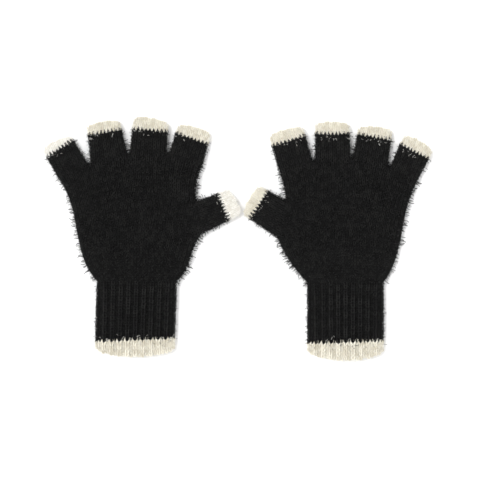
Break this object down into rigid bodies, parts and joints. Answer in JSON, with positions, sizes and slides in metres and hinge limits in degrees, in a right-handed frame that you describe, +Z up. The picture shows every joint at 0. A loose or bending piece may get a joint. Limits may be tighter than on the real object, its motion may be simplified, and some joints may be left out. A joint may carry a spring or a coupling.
{
  "type": "fingerless knitted gloves",
  "caption": "Pair of fingerless knitted gloves with open finger and thumb tubes, ribbed cuffs and contrasting edge bands, lying flat.",
  "frame": {"origin": "middle of the pair's box, on the surface that the gloves lie on", "axes": "+Z up from that surface, +Y to the fingertips, +X across the pair from the left-lying glove to the right-lying one"},
  "size_m": [0.3299, 0.2066, 0.011],
  "materials": {
    "black_brushed_yarn": "brushed, hairy black knit, matt",
    "black_rib_yarn": "brushed black rib knit, matt",
    "cream_edge_yarn": "soft cream knit, matt"
  },
  "bodies": {
    "left_hand": {"left_hand": "black_brushed_yarn"},
    "left_cuff": {"left_cuff": "black_rib_yarn", "left_cuff_hem": "cream_edge_yarn"},
    "left_little_finger": {"left_little_finger": "black_brushed_yarn", "left_little_finger_band": "cream_edge_yarn"},
    "left_ring_finger": {"left_ring_finger": "black_brushed_yarn", "left_ring_finger_band": "cream_edge_yarn"},
    "left_middle_finger": {"left_middle_finger": "black_brushed_yarn", "left_middle_finger_band": "cream_edge_yarn"},
    "left_index_finger": {"left_index_finger": "black_brushed_yarn", "left_index_finger_band": "cream_edge_yarn"},
    "left_thumb": {"left_thumb": "black_brushed_yarn", "left_thumb_band": "cream_edge_yarn"},
    "right_hand": {"right_hand": "black_brushed_yarn"},
    "right_cuff": {"right_cuff": "black_rib_yarn", "right_cuff_hem": "cream_edge_yarn"},
    "right_little_finger": {"right_little_finger": "black_brushed_yarn", "right_little_finger_band": "cream_edge_yarn"},
    "right_ring_finger": {"right_ring_finger": "black_brushed_yarn", "right_ring_finger_band": "cream_edge_yarn"},
    "right_middle_finger": {"right_middle_finger": "black_brushed_yarn", "right_middle_finger_band": "cream_edge_yarn"},
    "right_index_finger": {"right_index_finger": "black_brushed_yarn", "right_index_finger_band": "cream_edge_yarn"},
    "right_thumb": {"right_thumb": "black_brushed_yarn", "right_thumb_band": "cream_edge_yarn"}
  },
  "joints": [
    {"name": "left_wrist_fold", "type": "hinge", "parent": "left_hand", "child": "left_cuff", "pos_m": [-0.08586, -0.03668, 0.011], "axis": [-1, 0, 0], "range_deg": [0, 70]},
    {"name": "left_little_finger_fold", "type": "hinge", "parent": "left_hand", "child": "left_little_finger", "pos_m": [-0.13901, 0.05657, 0.011], "axis": [0.9306, 0.366, 0], "range_deg": [0, 75]},
    {"name": "left_ring_finger_fold", "type": "hinge", "parent": "left_hand", "child": "left_ring_finger", "pos_m": [-0.10926, 0.06587, 0.011], "axis": [0.9708, 0.2397, 0], "range_deg": [0, 75]},
    {"name": "left_middle_finger_fold", "type": "hinge", "parent": "left_hand", "child": "left_middle_finger", "pos_m": [-0.07646, 0.07027, 0.011], "axis": [0.9998, 0.0213, 0], "range_deg": [0, 75]},
    {"name": "left_index_finger_fold", "type": "hinge", "parent": "left_hand", "child": "left_index_finger", "pos_m": [-0.04521, 0.06647, 0.011], "axis": [0.9631, -0.2691, 0], "range_deg": [0, 75]},
    {"name": "left_thumb_fold", "type": "hinge", "parent": "left_hand", "child": "left_thumb", "pos_m": [-0.03436, 0.01682, 0.011], "axis": [0.1414, -0.9899, 0], "range_deg": [0, 60]},
    {"name": "right_wrist_fold", "type": "hinge", "parent": "right_hand", "child": "right_cuff", "pos_m": [0.09114, -0.03768, 0.011], "axis": [-1, 0, 0], "range_deg": [0, 70]},
    {"name": "right_little_finger_fold", "type": "hinge", "parent": "right_hand", "child": "right_little_finger", "pos_m": [0.13989, 0.05447, 0.011], "axis": [0.9218, -0.3876, 0], "range_deg": [0, 75]},
    {"name": "right_ring_finger_fold", "type": "hinge", "parent": "right_hand", "child": "right_ring_finger", "pos_m": [0.11189, 0.06337, 0.011], "axis": [0.9728, -0.2316, 0], "range_deg": [0, 75]},
    {"name": "right_middle_finger_fold", "type": "hinge", "parent": "right_hand", "child": "right_middle_finger", "pos_m": [0.08014, 0.06572, 0.011], "axis": [0.9962, 0.0872, 0], "range_deg": [0, 75]},
    {"name": "right_index_finger_fold", "type": "hinge", "parent": "right_hand", "child": "right_index_finger", "pos_m": [0.04939, 0.06132, 0.011], "axis": [0.9799, 0.1993, 0], "range_deg": [0, 75]},
    {"name": "right_thumb_fold", "type": "hinge", "parent": "right_hand", "child": "right_thumb", "pos_m": [0.03764, 0.01557, 0.011], "axis": [0.2169, 0.9762, 0], "range_deg": [0, 60]},
    {"name": "gloves_apart", "type": "slide", "parent": "left_hand", "child": "right_hand", "axis": [1, 0, 0], "range_m": [0, 0.03]}
  ]
}
